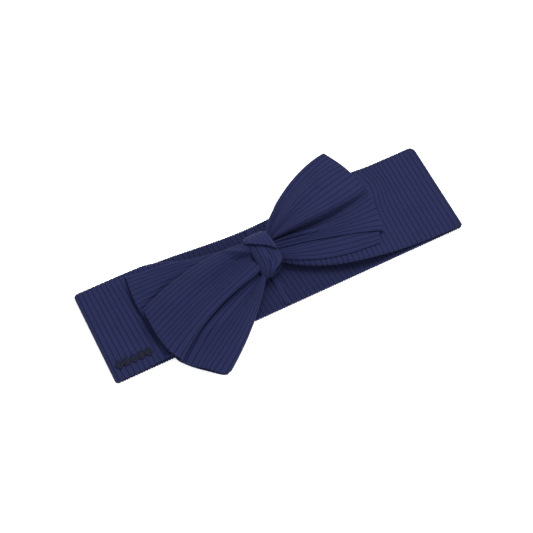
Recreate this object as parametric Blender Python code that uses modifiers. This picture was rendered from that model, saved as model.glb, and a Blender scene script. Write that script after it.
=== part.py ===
"""Rib-knit baby headband with a tied bow.

The band is a doubled strip of rib knit closed into a loop and lying flat: a back half on the ground, a side
fold at each end, and a left and a right front panel that narrow to the gathered middle. A wrap and its flap
make the knot round the gathers, and four doubled wings spread from it. Units are metres, +X runs along the
band, +Y away from the wearer's chin, +Z up, and the origin is under the middle of the back half.
"""

import math

import bmesh
import bpy
from mathutils import Vector

# Band
BAND_LENGTH = 0.200
BAND_WIDTH = 0.054
PLY = 0.0008
GAP = 0.0003
HEAD_GAP = 0.0006
FOLD_STEPS = 8
BACK_STEPS = 16
BACK_EDGE_DIP = 0.0045
BACK_EDGE_DIP_REACH = 0.075

# Arch of the front panels over the head opening
ARCH_RISE = 0.0041
FLAT_END = 0.0238
ARCH_RUN = 0.031
GATHER_LENGTH = 0.024
GATHERED_WIDTH = 0.011
PANEL_STEPS = (22, 4)

# Seam that closes the loop, under the knot
BACK_SEAM_WIDTH = 0.0030
BACK_SEAM_THICK = 0.0008
BACK_SEAM_INSET = 0.0010

# Knot
KNOT_X = -0.003
KNOT_WIDTH = 0.013
KNOT_DEPTH = 0.025
KNOT_CROWN = 0.0011
WRAP_THICK_SIDE = 0.0045
WRAP_THICK_TOP = 0.0030
KNOT_STEPS = 36

# Flap of the strip's end, tucked over the back of the knot
FLAP_THICK = 0.0016
FLAP_CLEARANCE = 0.0004
FLAP_MARGIN = 0.0005
FLAP_ANGLES = (22.0, 96.0)
FLAP_TAPER = 0.0048
FLAP_WIDEST = 0.45

# Wings: plan points of each edge (knot end, bend, free end) and how far the free end bows out
WING_SEAM_THICK = 0.0004
WING_SEAM_WIDTH = 0.0035
WING_SEAM_MARGIN = 0.0010
WING_SEAM_SPAN = (0.04, 0.96)
WING_STEPS = (12, 12)
WING_SETTLE_FROM_Y = -0.0175
WING_SETTLE_RUN = 0.012
WING_DROOP_PER_M = 10.0
LEFT_BACK = {
    "back_edge": ((0.0, 0.0110), (-0.035, 0.0130), (-0.071, 0.0240)),
    "chin_edge": ((0.0, -0.0060), (-0.040, -0.0080), (-0.071, -0.0160)),
    "bow_out": 0.0020,
}
LEFT_FRONT = {
    "back_edge": ((0.0, 0.0105), (-0.036, 0.0125), (-0.0725, -0.0030)),
    "chin_edge": ((0.0, -0.0105), (-0.022, -0.0310), (-0.0490, -0.0480)),
    "bow_out": 0.0065,
}
RIGHT_BACK = {
    "back_edge": ((0.0, 0.0080), (0.030, 0.0100), (0.060, 0.0080)),
    "chin_edge": ((0.0, -0.0070), (0.022, -0.0160), (0.0543, -0.0195)),
    "bow_out": 0.0010,
}
RIGHT_FRONT = {
    "back_edge": ((0.0, 0.0110), (0.023, 0.0320), (0.0518, 0.0400)),
    "chin_edge": ((0.0, 0.0020), (0.025, -0.0020), (0.0590, -0.0135)),
    "bow_out": 0.0060,
}

# Raised motif near the left fold
MOTIF_FROM_FOLD = 0.0113
MOTIF_FROM_EDGE = 0.0075
MOTIF_LENGTH = 0.020
MOTIF_LEAF = 0.0023
MOTIF_STEM = 0.0006
MOTIF_LEAVES = 5
MOTIF_THICK = 0.00035
MOTIF_STEPS = 40

# Heights and places that follow from the sizes above
FOLD_AXIS_Z = 2 * PLY + GAP + HEAD_GAP / 2
FOLD_X = BAND_LENGTH / 2 - FOLD_AXIS_Z
FOLD_TOP = 2 * FOLD_AXIS_Z
ARCH_FOOT_X = FOLD_X - FLAT_END
OUTER_PLY_Z = PLY / 2
INNER_PLY_Z = PLY + GAP + PLY / 2
PANEL_END_X = FOLD_X - GAP
BACK_SEAM_Z = 2 * PLY + 2 * GAP + BACK_SEAM_THICK / 2
WING_SPACE = WING_SEAM_THICK + 2 * GAP
WING_LEVEL = 2 * PLY + WING_SPACE + GAP
WINGS_TOP = FOLD_TOP + ARCH_RISE + 2 * WING_LEVEL
WING_PIVOT_Z = WINGS_TOP + GAP
KNOT_BOTTOM = BACK_SEAM_Z + BACK_SEAM_THICK / 2 + GAP
KNOT_HEIGHT = WINGS_TOP + KNOT_CROWN - KNOT_BOTTOM
KNOT_Z = KNOT_BOTTOM + KNOT_HEIGHT / 2
KNOT_SIDES = {-1: KNOT_X - KNOT_WIDTH / 2 - GAP, 1: KNOT_X + KNOT_WIDTH / 2 + GAP}

NORMAL_STEP = 0.002

NAVY = (0.034, 0.040, 0.115)
NAVY_SHADE = (0.026, 0.031, 0.092)
NAVY_THREAD = (0.045, 0.052, 0.140)
MOTIF_INK = (0.012, 0.014, 0.040)


def clear_scene():
    """Remove every object so that the file can run again in an open session."""
    for item in list(bpy.data.objects):
        bpy.data.objects.remove(item, do_unlink=True)


def new_collection(name):
    """Make a collection and link it to the scene."""
    made = bpy.data.collections.new(name)
    bpy.context.scene.collection.children.link(made)
    return made


def knit_material(name, colour, roughness):
    """Make a plain cloth material."""
    made = bpy.data.materials.new(name)
    made.use_nodes = True
    shader = made.node_tree.nodes["Principled BSDF"]
    shader.inputs["Base Color"].default_value = (*colour, 1.0)
    shader.inputs["Roughness"].default_value = roughness
    shader.inputs["Metallic"].default_value = 0.0
    return made


def pivot(name, location, parent, collection):
    """Make the empty that carries a moving group, standing on the group's axis."""
    made = bpy.data.objects.new(name, None)
    made.empty_display_size = 0.01
    collection.objects.link(made)
    hang(made, parent, Vector(location))
    return made


def hang(item, parent, world):
    """Place an item at a world point under a parent that is only moved, never turned."""
    if parent is not None:
        item.parent = parent
        world = world - world_place(parent)
    item.location = world


def world_place(item):
    """Add up the locations from an item to the top of its parents."""
    place = Vector(item.location)
    while item.parent is not None:
        item = item.parent
        place = place + Vector(item.location)
    return place


def smooth_step(value):
    """Ease from 0 to 1."""
    held = min(max(value, 0.0), 1.0)
    return held * held * (3.0 - 2.0 * held)


def arch(x):
    """Height of the arch at x, above the flat ends of the front panels."""
    return ARCH_RISE * smooth_step((ARCH_FOOT_X - abs(x)) / ARCH_RUN)


def bezier(points, t):
    """Point of a quadratic curve through three plan points."""
    first, bend, last = (Vector(point) for point in points)
    return first * (1 - t) ** 2 + bend * (2 * t * (1 - t)) + last * t**2


def sheet(name, steps, shape, thickness, material, parent, collection):
    """Carry a flat grid onto shape(u, v) and thicken it evenly to both sides."""
    grid = bmesh.new()
    bmesh.ops.create_grid(grid, x_segments=steps[0], y_segments=steps[1], size=0.5)
    origin = world_place(parent)
    for vertex in grid.verts:
        vertex.co = Vector(shape(vertex.co.x + 0.5, vertex.co.y + 0.5)) - origin
    mesh = bpy.data.meshes.new(name)
    grid.to_mesh(mesh)
    grid.free()
    mesh.shade_smooth()
    mesh.set_sharp_from_angle(angle=math.radians(40))
    mesh.materials.append(material)
    made = bpy.data.objects.new(name, mesh)
    collection.objects.link(made)
    made.parent = parent
    wall = made.modifiers.new("thickness", "SOLIDIFY")
    wall.thickness = thickness
    wall.offset = 0.0
    wall.use_even_offset = True
    wall.use_rim = True
    return made


def outline_solid(name, outlines, thickness, place, turn, material, parent, collection):
    """Extrude flat closed outlines, the later ones being holes, to a solid of a given thickness."""
    curve = bpy.data.curves.new(name, "CURVE")
    curve.dimensions = "2D"
    curve.fill_mode = "BOTH"
    curve.extrude = thickness / 2
    for outline in outlines:
        spline = curve.splines.new("POLY")
        spline.points.add(len(outline) - 1)
        for point, (x, y) in zip(spline.points, outline):
            point.co = (x, y, 0.0, 1.0)
        spline.use_cyclic_u = True
    curve.materials.append(material)
    made = bpy.data.objects.new(name, curve)
    collection.objects.link(made)
    made.rotation_euler = turn
    hang(made, parent, Vector(place))
    return made


def ellipse(half_width, half_height, steps):
    """Points of an ellipse."""
    angles = [2 * math.pi * step / steps for step in range(steps)]
    return [(half_width * math.cos(a), half_height * math.sin(a)) for a in angles]


def back_ply(name, ply_z, material, parent, collection):
    """One ply of the back half, flat on the ground and curling up round both side folds."""
    radius = FOLD_AXIS_Z - ply_z
    rows = 2 * FOLD_STEPS + BACK_STEPS

    def shape(u, v):
        step = round(u * rows) - rows / 2
        side = math.copysign(1.0, step)
        flat = min(abs(step) / (BACK_STEPS / 2), 1.0)
        turn = max(abs(step) - BACK_STEPS / 2, 0.0)
        angle = math.pi * turn / FOLD_STEPS
        x = side * (FOLD_X * flat + radius * math.sin(angle))
        z = FOLD_AXIS_Z - radius * math.cos(angle)
        dip = BACK_EDGE_DIP * smooth_step(1.0 - abs(x - KNOT_X) / BACK_EDGE_DIP_REACH)
        return x, BAND_WIDTH * (v - 0.5) - dip * v, z

    return sheet(name, (rows, 1), shape, PLY, material, parent, collection)


def back_seam(material, parent, collection):
    """The seam allowance that closes the loop, lying across the back half under the knot."""
    start = BACK_SEAM_INSET - BAND_WIDTH / 2
    run = BAND_WIDTH - BACK_EDGE_DIP - 2 * BACK_SEAM_INSET

    def shape(u, v):
        return KNOT_X + BACK_SEAM_WIDTH * (u - 0.5), start + run * v, BACK_SEAM_Z

    return sheet("back_seam", (2, 8), shape, BACK_SEAM_THICK, material, parent, collection)


def panel_half_width(x, side):
    """Half the width of a front panel at x: full at the fold, drawn in towards the knot."""
    run = PANEL_END_X - abs(KNOT_SIDES[side])
    ending = math.exp(-run / GATHER_LENGTH)
    drawn = (math.exp(-abs(x - KNOT_SIDES[side]) / GATHER_LENGTH) - ending) / (1 - ending)
    return BAND_WIDTH / 2 - (BAND_WIDTH - GATHERED_WIDTH) / 2 * drawn


def front_ply(name, side, ply_z, material, parent, collection):
    """One ply of a front panel, from its side fold over the arch to the knot."""
    level = FOLD_TOP - ply_z

    def shape(u, v):
        along = 1 - (1 - u) ** 1.4
        x = side * PANEL_END_X + (KNOT_SIDES[side] - side * PANEL_END_X) * along
        return x, panel_half_width(x, side) * (2 * v - 1), level + arch(x)

    return sheet(name, PANEL_STEPS, shape, PLY, material, parent, collection)


def motif(material, parent, collection):
    """A raised chain of small leaves on the left front panel."""
    upper = []
    for step in range(MOTIF_STEPS + 1):
        share = step / MOTIF_STEPS
        leaf = abs(math.sin(math.pi * MOTIF_LEAVES * share))
        upper.append((MOTIF_LENGTH * (share - 0.5), MOTIF_STEM + (MOTIF_LEAF - MOTIF_STEM) * leaf))
    lower = [(along, -out) for along, out in reversed(upper)]
    x = MOTIF_FROM_FOLD - FOLD_X
    y = MOTIF_FROM_EDGE - BAND_WIDTH / 2
    place = (x, y, FOLD_TOP + GAP + MOTIF_THICK / 2)
    return outline_solid(
        "corner_motif", [upper + lower], MOTIF_THICK, place, (0, 0, 0), material, parent, collection
    )


def knot_wrap(material, parent, collection):
    """The strip wound round the gathers: an elliptical ring with its hole along the band."""
    outer = ellipse(KNOT_DEPTH / 2, KNOT_HEIGHT / 2, KNOT_STEPS)
    hole = ellipse(KNOT_DEPTH / 2 - WRAP_THICK_SIDE, KNOT_HEIGHT / 2 - WRAP_THICK_TOP, KNOT_STEPS)
    place = (KNOT_X, 0, KNOT_Z)
    along_band = (math.pi / 2, 0, math.pi / 2)
    return outline_solid(
        "knot_wrap", [outer, hole], KNOT_WIDTH, place, along_band, material, parent, collection
    )


def gathered_core(material, parent, collection):
    """The bunched middle of the front half, held inside the wrap."""
    half_width = KNOT_DEPTH / 2 - WRAP_THICK_SIDE - GAP
    half_height = KNOT_HEIGHT / 2 - WRAP_THICK_TOP - GAP
    outline = ellipse(half_width, half_height, KNOT_STEPS)
    place = (KNOT_X, 0, KNOT_Z)
    along_band = (math.pi / 2, 0, math.pi / 2)
    return outline_solid(
        "gathered_core", [outline], KNOT_WIDTH, place, along_band, material, parent, collection
    )


def knot_flap(material, parent, collection):
    """The end of the wrap, lying as a tapering flap over the top and back of the knot."""
    rise = FLAP_CLEARANCE + FLAP_THICK / 2
    right = KNOT_X + KNOT_WIDTH / 2 - FLAP_MARGIN
    left = KNOT_X - KNOT_WIDTH / 2 + FLAP_MARGIN

    def shape(u, v):
        angle = math.radians(FLAP_ANGLES[0] + (FLAP_ANGLES[1] - FLAP_ANGLES[0]) * v)
        start = left + FLAP_TAPER * ((v - FLAP_WIDEST) / (1 - FLAP_WIDEST)) ** 2
        y = (KNOT_DEPTH / 2 + rise) * math.cos(angle)
        z = KNOT_Z + (KNOT_HEIGHT / 2 + rise) * math.sin(angle)
        return start + (right - start) * u, y, z

    return sheet("knot_flap", (4, 8), shape, FLAP_THICK, material, parent, collection)


def wing_point(outline, side, u, v):
    """Plan point of a wing: u runs from the knot to the free end, v from the chin edge to the back edge."""
    root = Vector((KNOT_SIDES[side], 0.0))
    edges = []
    for key in ("chin_edge", "back_edge"):
        first, bend, last = outline[key]
        edges.append(bezier((Vector(first) + root, bend, last), u))
    across = edges[1] - edges[0]
    outward = Vector((across.y, -across.x)).normalized() * side
    bowed = outline["bow_out"] * u * u * math.sin(math.pi * v)
    return edges[0] + across * v + outward * bowed


def wing_height(plan, level):
    """Underside of a wing at a plan point: one level up for each wing beneath, until it settles and droops."""
    settled = smooth_step((WING_SETTLE_FROM_Y - plan.y) / WING_SETTLE_RUN)
    overhang = max(-plan.y - BAND_WIDTH / 2, 0.0)
    raised = level * WING_LEVEL * (1.0 - settled)
    return FOLD_TOP + GAP + arch(plan.x) + raised - WING_DROOP_PER_M * overhang**2


def wing_surface(outline, side, level, u, v):
    """Point of a wing's underside."""
    plan = wing_point(outline, side, u, v)
    return Vector((plan.x, plan.y, wing_height(plan, level)))


def wing_normal(outline, side, level, u, v):
    """Upward direction square to a wing's underside, from short steps along u and v."""
    along = wing_surface(outline, side, level, u + NORMAL_STEP, v)
    along -= wing_surface(outline, side, level, u - NORMAL_STEP, v)
    across = wing_surface(outline, side, level, u, v + NORMAL_STEP)
    across -= wing_surface(outline, side, level, u, v - NORMAL_STEP)
    normal = along.cross(across).normalized()
    return normal if normal.z > 0 else -normal


def wing_ply(name, outline, side, level, offset, thickness, span, material, parent, collection):
    """A ply or seam of a wing, offset squarely from the wing's underside."""
    (u_start, u_end), (v_start, v_end), steps = span

    def shape(u, v):
        place = (outline, side, level, u_start + (u_end - u_start) * u, v_start + (v_end - v_start) * v)
        return wing_surface(*place) + wing_normal(*place) * (offset + thickness / 2)

    return sheet(name, steps, shape, thickness, material, parent, collection)


def wing(name, outline, side, level, cloth, thread, parent, collection):
    """A doubled wing: an under ply, a top ply and the end seam allowance held between them."""
    whole = ((0.0, 1.0), (0.0, 1.0), WING_STEPS)
    run = abs(outline["back_edge"][2][0]) - abs(KNOT_SIDES[side])
    tip = 1.0 - WING_SEAM_MARGIN / run
    hem = ((tip - WING_SEAM_WIDTH / run, tip), WING_SEAM_SPAN, (2, WING_STEPS[1]))
    layers = (
        ("under_ply", 0.0, PLY, whole, cloth),
        ("top_ply", PLY + WING_SPACE, PLY, whole, cloth),
        ("end_seam", PLY + GAP, WING_SEAM_THICK, hem, thread),
    )
    for layer, offset, thickness, span, material in layers:
        wing_ply(f"{name}_{layer}", outline, side, level, offset, thickness, span, material, parent, collection)


def build():
    """Model the headband and its bow."""
    clear_scene()
    parts = new_collection("bow_headband")
    cloth = knit_material("rib_knit", NAVY, 0.85)
    inside = knit_material("rib_knit_inside", NAVY_SHADE, 0.9)
    thread = knit_material("seam_thread", NAVY_THREAD, 0.7)
    ink = knit_material("raised_print", MOTIF_INK, 0.45)

    band = pivot("band", (0, 0, 0), None, parts)
    back_ply("back_outer_ply", OUTER_PLY_Z, cloth, band, parts)
    back_ply("back_inner_ply", INNER_PLY_Z, inside, band, parts)
    back_seam(thread, band, parts)

    for side, label in ((-1, "left"), (1, "right")):
        front = pivot(f"{label}_front", (side * PANEL_END_X, 0, FOLD_TOP), band, parts)
        front_ply(f"{label}_front_outer_ply", side, OUTER_PLY_Z, cloth, front, parts)
        front_ply(f"{label}_front_inner_ply", side, INNER_PLY_Z, inside, front, parts)
        if side < 0:
            motif(ink, front, parts)

    bow = pivot("bow", (KNOT_X, 0, KNOT_BOTTOM), band, parts)
    gathered_core(inside, bow, parts)
    knot_wrap(cloth, bow, parts)
    knot_flap(cloth, bow, parts)

    for side, label, back, front in (
        (-1, "left", LEFT_BACK, LEFT_FRONT),
        (1, "right", RIGHT_BACK, RIGHT_FRONT),
    ):
        root = (KNOT_SIDES[side], 0, WING_PIVOT_Z)
        back_group = pivot(f"{label}_back_wing", root, bow, parts)
        front_group = pivot(f"{label}_front_wing", root, back_group, parts)
        wing(f"{label}_back_wing", back, side, 0, cloth, thread, back_group, parts)
        wing(f"{label}_front_wing", front, side, 1, cloth, thread, front_group, parts)


build()
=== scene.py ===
"""Rib-knit baby headband with a tied bow: the cloth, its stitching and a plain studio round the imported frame.

Every cloth piece is a closed slab carried on a curved middle surface. Ribs are real relief on the slab, the
long edges roll over as folds, and the bow's wings are pleated. Units are metres in the frame's own axes.
"""

import logging
import math
from collections.abc import Callable
from dataclasses import dataclass, field
from enum import Enum

import bpy
import numpy as np
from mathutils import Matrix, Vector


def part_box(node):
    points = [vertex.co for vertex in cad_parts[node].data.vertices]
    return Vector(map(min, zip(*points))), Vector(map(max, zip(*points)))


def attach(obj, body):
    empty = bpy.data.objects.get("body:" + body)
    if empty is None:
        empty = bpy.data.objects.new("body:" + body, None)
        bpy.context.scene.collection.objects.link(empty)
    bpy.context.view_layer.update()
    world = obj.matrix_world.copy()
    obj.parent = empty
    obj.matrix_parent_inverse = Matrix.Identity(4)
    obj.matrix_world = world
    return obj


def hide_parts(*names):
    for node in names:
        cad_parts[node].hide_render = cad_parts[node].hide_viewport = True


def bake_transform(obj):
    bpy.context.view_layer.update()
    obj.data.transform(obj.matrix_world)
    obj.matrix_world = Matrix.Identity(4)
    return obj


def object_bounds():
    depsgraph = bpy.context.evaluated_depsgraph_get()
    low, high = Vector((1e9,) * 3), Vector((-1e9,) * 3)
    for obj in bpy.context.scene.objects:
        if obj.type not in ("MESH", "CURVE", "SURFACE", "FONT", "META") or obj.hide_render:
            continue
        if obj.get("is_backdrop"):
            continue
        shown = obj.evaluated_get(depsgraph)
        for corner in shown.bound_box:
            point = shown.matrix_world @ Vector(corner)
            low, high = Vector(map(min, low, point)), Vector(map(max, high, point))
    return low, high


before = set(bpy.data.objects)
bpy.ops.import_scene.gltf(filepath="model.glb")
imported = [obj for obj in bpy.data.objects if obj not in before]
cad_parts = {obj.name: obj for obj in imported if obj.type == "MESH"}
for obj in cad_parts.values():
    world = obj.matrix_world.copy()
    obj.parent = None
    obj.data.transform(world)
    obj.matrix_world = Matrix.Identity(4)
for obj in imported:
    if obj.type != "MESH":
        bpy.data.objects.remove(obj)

LOG = logging.getLogger("bow_headband")
MM = 0.001
RIB_PITCH = 0.00269
RIB_STEPS = 10
INNER_INSET = 0.0002
SMALLEST = 1e-6
Array = np.ndarray
Point = tuple[float, float, float]


class Side(Enum):
    """Which end of the band a piece belongs to; the value is the sign of X."""

    LEFT = -1
    RIGHT = 1


class Slot(Enum):
    """Material slots of the record."""

    RIB = "rib_knit"
    INSIDE = "rib_knit_inside"
    THREAD = "seam_thread"
    PRINT = "raised_print"


class Fold(Enum):
    FOLDED = "folded"
    GATHERED = "gathered"


# ---------------------------------------------------------------- numbers and curves


def corners(box: tuple[Point, Point]) -> tuple[Array, Array]:
    """Low and high corner of a box as arrays."""
    return np.array(box[0]), np.array(box[1])


def smooth_step(value: Array) -> Array:
    """Ease from 0 to 1: three times the square less twice the cube, held at both ends."""
    held = np.clip(value, 0.0, 1.0)
    return held * held * (3.0 - 2.0 * held)


def bump(value: Array, centre: float, reach: float) -> Array:
    """Bell curve: e to the power of minus the squared distance from the centre in reaches."""
    return np.exp(-(((value - centre) / reach) ** 2))


def bezier(points: Array, t: Array) -> Array:
    """Point of a Bezier curve: the control points weighted by binomial shares of t.

    Args:
        points: control points, one a row.
        t: parameters from 0 to 1, of any shape.

    Returns:
        The points, with one more axis than t.
    """
    degree = len(points) - 1
    weights = [math.comb(degree, k) * t**k * (1 - t) ** (degree - k) for k in range(degree + 1)]
    return np.stack(weights, -1) @ np.asarray(points, float)


def through(first: float, middle: float, last: float, t: Array) -> Array:
    """Parabola that takes three values at t of 0, one half and 1.

    Args:
        first: value at 0.
        middle: value at one half.
        last: value at 1.
        t: parameters to read.

    Returns:
        One value for each parameter.
    """
    rise = 2.0 * (last - 2.0 * middle + first)
    slope = last - first - rise
    return first + slope * t + rise * t * t


def spline(knots: Array, values: Array, at: Array) -> Array:
    """Natural cubic spline: second derivatives from the usual three-row system, nought at both ends.

    Args:
        knots: rising parameters of the given values.
        values: one row a knot, of any further shape.
        at: parameters to read.

    Returns:
        One row for each parameter read.
    """
    flat = values.reshape(len(knots), -1)
    step = np.diff(knots)
    slope = np.diff(flat, axis=0) / step[:, None]
    system = np.eye(len(knots))
    right = np.zeros_like(flat)
    inner = np.arange(1, len(knots) - 1)
    system[inner, inner - 1] = step[:-1]
    system[inner, inner] = 2.0 * (step[:-1] + step[1:])
    system[inner, inner + 1] = step[1:]
    right[inner] = 6.0 * np.diff(slope, axis=0)
    bend = np.linalg.solve(system, right)
    cell = np.clip(np.searchsorted(knots, at, side="right") - 1, 0, len(knots) - 2)
    width = step[cell][:, None]
    t = ((at - knots[cell])[:, None]) / width
    low, high = flat[cell], flat[cell + 1]
    bent = ((1 - t) ** 3 - (1 - t)) * bend[cell] + (t**3 - t) * bend[cell + 1]
    read = (1 - t) * low + t * high + bent * width * width / 6.0
    return read.reshape((len(at),) + values.shape[1:])


def unit(vectors: Array) -> Array:
    """Vectors scaled to length 1."""
    length = np.linalg.norm(vectors, axis=-1, keepdims=True)
    return vectors / np.maximum(length, 1e-12)


def normals(surface: Array, ring: bool = False) -> Array:
    """Unit normals of a grid of points: the cross product of its steps along rows and along columns."""
    if ring:
        padded = np.concatenate([surface[-1:], surface, surface[:1]])
        down = np.gradient(padded, axis=0)[1:-1]
    else:
        down = np.gradient(surface, axis=0)
    return unit(np.cross(down, np.gradient(surface, axis=1)))


# ---------------------------------------------------------------- cloth


@dataclass
class RibRelief:
    """Height of the ribs: rounded crests, a narrow groove between them and a weaker one along each crest.

    The groove is the raised cosine of the rib number to a high power: nought on the crests, 1 in the groove.
    """

    depth: float = 0.00036
    sharpness: float = 9.0
    crest_share: float = 0.55
    crest_sharpness: float = 11.0

    def sink(self, rib: Array) -> Array:
        """Depth below the crests at a rib number.

        Args:
            rib: rib numbers, whole in the grooves.

        Returns:
            Depths in metres.
        """
        wave = np.cos(2.0 * math.pi * rib)
        groove = ((1.0 + wave) / 2.0) ** self.sharpness
        crest = ((1.0 - wave) / 2.0) ** self.crest_sharpness
        return self.depth * (groove + self.crest_share * crest)


@dataclass
class Cloth:
    """A ply of knit as a closed slab on both sides of a grid of points.

    Rows run along the first axis and columns along the second, and the face side is the one that the cross
    product of the two points to. Borders are rounded: two more rings of points step outwards while the thickness
    falls as a quarter circle does.
    """

    name: str
    middle: Array
    rib: Array
    along: Array
    thickness: float
    relief: RibRelief = field(default_factory=RibRelief)
    ring: bool = False
    rim_turns: tuple[float, ...] = (0.8, math.pi / 2)

    def padded(self, grid: Array) -> Array:
        """Copy of a grid with its border rows and columns repeated once for each turn of the rim.

        Args:
            grid: grid of numbers or points.

        Returns:
            The larger grid.
        """
        extra = len(self.rim_turns)
        rows = (0, 0) if self.ring else (extra, extra)
        return np.pad(grid, [rows, (extra, extra)] + [(0, 0)] * (grid.ndim - 2), mode="edge")

    def rounded(self) -> tuple[Array, Array]:
        """Middle surface with its rims added, and the share of the thickness left at each point."""
        extra = len(self.rim_turns)
        middle = self.padded(self.middle)
        share = np.ones(middle.shape[:2])
        reach = self.thickness / 2.0
        sides = [(1, False), (1, True)] if self.ring else [(0, False), (0, True), (1, False), (1, True)]
        for axis, far in sides:
            view = np.swapaxes(middle, 0, axis)
            shares = np.swapaxes(share, 0, axis)
            if far:
                view, shares = view[::-1], shares[::-1]
            outward = unit(view[extra] - view[extra + 1])
            for step, turn in enumerate(self.rim_turns):
                row = extra - 1 - step
                view[row] = view[extra] + outward * reach * math.sin(turn)
                shares[row] = np.minimum(shares[row], math.cos(turn))
        share[share < SMALLEST] = 0.0
        return middle, share

    def build(self) -> bpy.types.Object:
        """Make the mesh: two faces of the slab that share their outermost ring of points.

        Returns:
            The new object, at the origin.
        """
        middle, share = self.rounded()
        rib, along = self.padded(self.rib), self.padded(self.along)
        normal = normals(middle, self.ring)
        half = (self.thickness / 2.0 * share)[..., None]
        sunk = (self.relief.sink(rib) * share)[..., None]
        face = middle + normal * (half - sunk)
        back = middle - normal * half
        shared = np.zeros(share.shape, bool)
        shared[:, 0] = shared[:, -1] = True
        if not self.ring:
            shared[0] = shared[-1] = True
        face[shared] = middle[shared] - normal[shared] * sunk[shared] / 2.0
        face_ids = np.arange(share.size).reshape(share.shape)
        back_ids = face_ids.copy()
        back_ids[~shared] = share.size + np.arange((~shared).sum())
        points = np.concatenate([face.reshape(-1, 3), back[~shared]])
        if self.ring:
            face_ids = np.concatenate([face_ids, face_ids[:1]])
            back_ids = np.concatenate([back_ids, back_ids[:1]])
        quads = np.concatenate([grid_faces(face_ids), grid_faces(back_ids)[:, ::-1]])
        wale = np.stack([rib, along / RIB_PITCH], -1)
        wales = np.concatenate([wale.reshape(-1, 2), wale[~shared]])
        return make_mesh(self.name, points, quads, wales)

def grid_faces(ids: Array) -> Array:
    """Four-cornered faces of a grid of point numbers, each from its first corner down, across and up."""
    return np.stack([ids[:-1, :-1], ids[1:, :-1], ids[1:, 1:], ids[:-1, 1:]], -1).reshape(-1, 4)


def make_mesh(name: str, points: Array, quads: Array, wales: Array) -> bpy.types.Object:
    """Put whole arrays of points and four-cornered faces into a new smooth-shaded object.

    Args:
        name: the piece's name.
        points: one point a row.
        quads: four point numbers a row.
        wales: for each point the rib number and the distance along the rib in rib widths.

    Returns:
        The object, linked to the scene.
    """
    mesh = bpy.data.meshes.new(name)
    mesh.from_pydata(points, [], quads)
    layer = mesh.uv_layers.new(name="wales")
    layer.data.foreach_set("uv", wales[quads.reshape(-1)].reshape(-1))
    mesh.shade_smooth()
    mesh.update()
    made = bpy.data.objects.new(name, mesh)
    bpy.context.scene.collection.objects.link(made)
    return made


def curl_edges(surface: Array, rib: Array, radius: float, steps: int, up: Array) -> tuple[Array, Array]:
    """Roll both long edges of a grid under as half circles.

    Each added point lies at the edge plus the outward direction times the radius times the sine of the
    turn, less the upward normal times the radius times one less its cosine.

    Args:
        surface: grid whose first and last columns are the edges.
        rib: rib numbers of the grid; the added columns carry on at the same spacing.
        radius: radius of the roll.
        steps: points in each half circle.
        up: normals of the grid on the side away from the roll.

    Returns:
        The wider grid and its rib numbers.
    """
    turn = np.linspace(0.0, math.pi, steps + 1)[1:, None, None]
    parts, ribs = [surface], [rib]
    for first, second in ((0, 1), (-1, -2)):
        outward = unit(surface[:, first] - surface[:, second])
        lift = unit(up[:, first] - outward * (up[:, first] * outward).sum(-1, keepdims=True))
        rolled = surface[:, first] + radius * (outward * np.sin(turn) - lift * (1.0 - np.cos(turn)))
        rolled = np.swapaxes(rolled, 0, 1)
        sign = -1.0 if first == 0 else 1.0
        numbers = rib[:, first][:, None] + sign * radius / RIB_PITCH * turn[:, 0, 0][None, :]
        if first == 0:
            parts.insert(0, rolled[:, ::-1])
            ribs.insert(0, numbers[:, ::-1])
        else:
            parts.append(rolled)
            ribs.append(numbers)
    return np.concatenate(parts, 1), np.concatenate(ribs, 1)


def level_ribs(rib: Array, column: int, columns: int) -> Array:
    """Rib numbers of a grid whose ribs run straight across it, read from one column."""
    return np.repeat(rib[:, column][:, None], columns, 1)


def arc_columns(surface: Array) -> Array:
    """Distance along each row of a grid from its first column."""
    steps = np.linalg.norm(np.diff(surface, axis=1), axis=-1)
    return np.concatenate([np.zeros((len(surface), 1)), np.cumsum(steps, 1)], 1)


def arc_rows(surface: Array) -> Array:
    """Distance along each column of a grid from its first row."""
    return arc_columns(np.swapaxes(surface, 0, 1)).T


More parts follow.
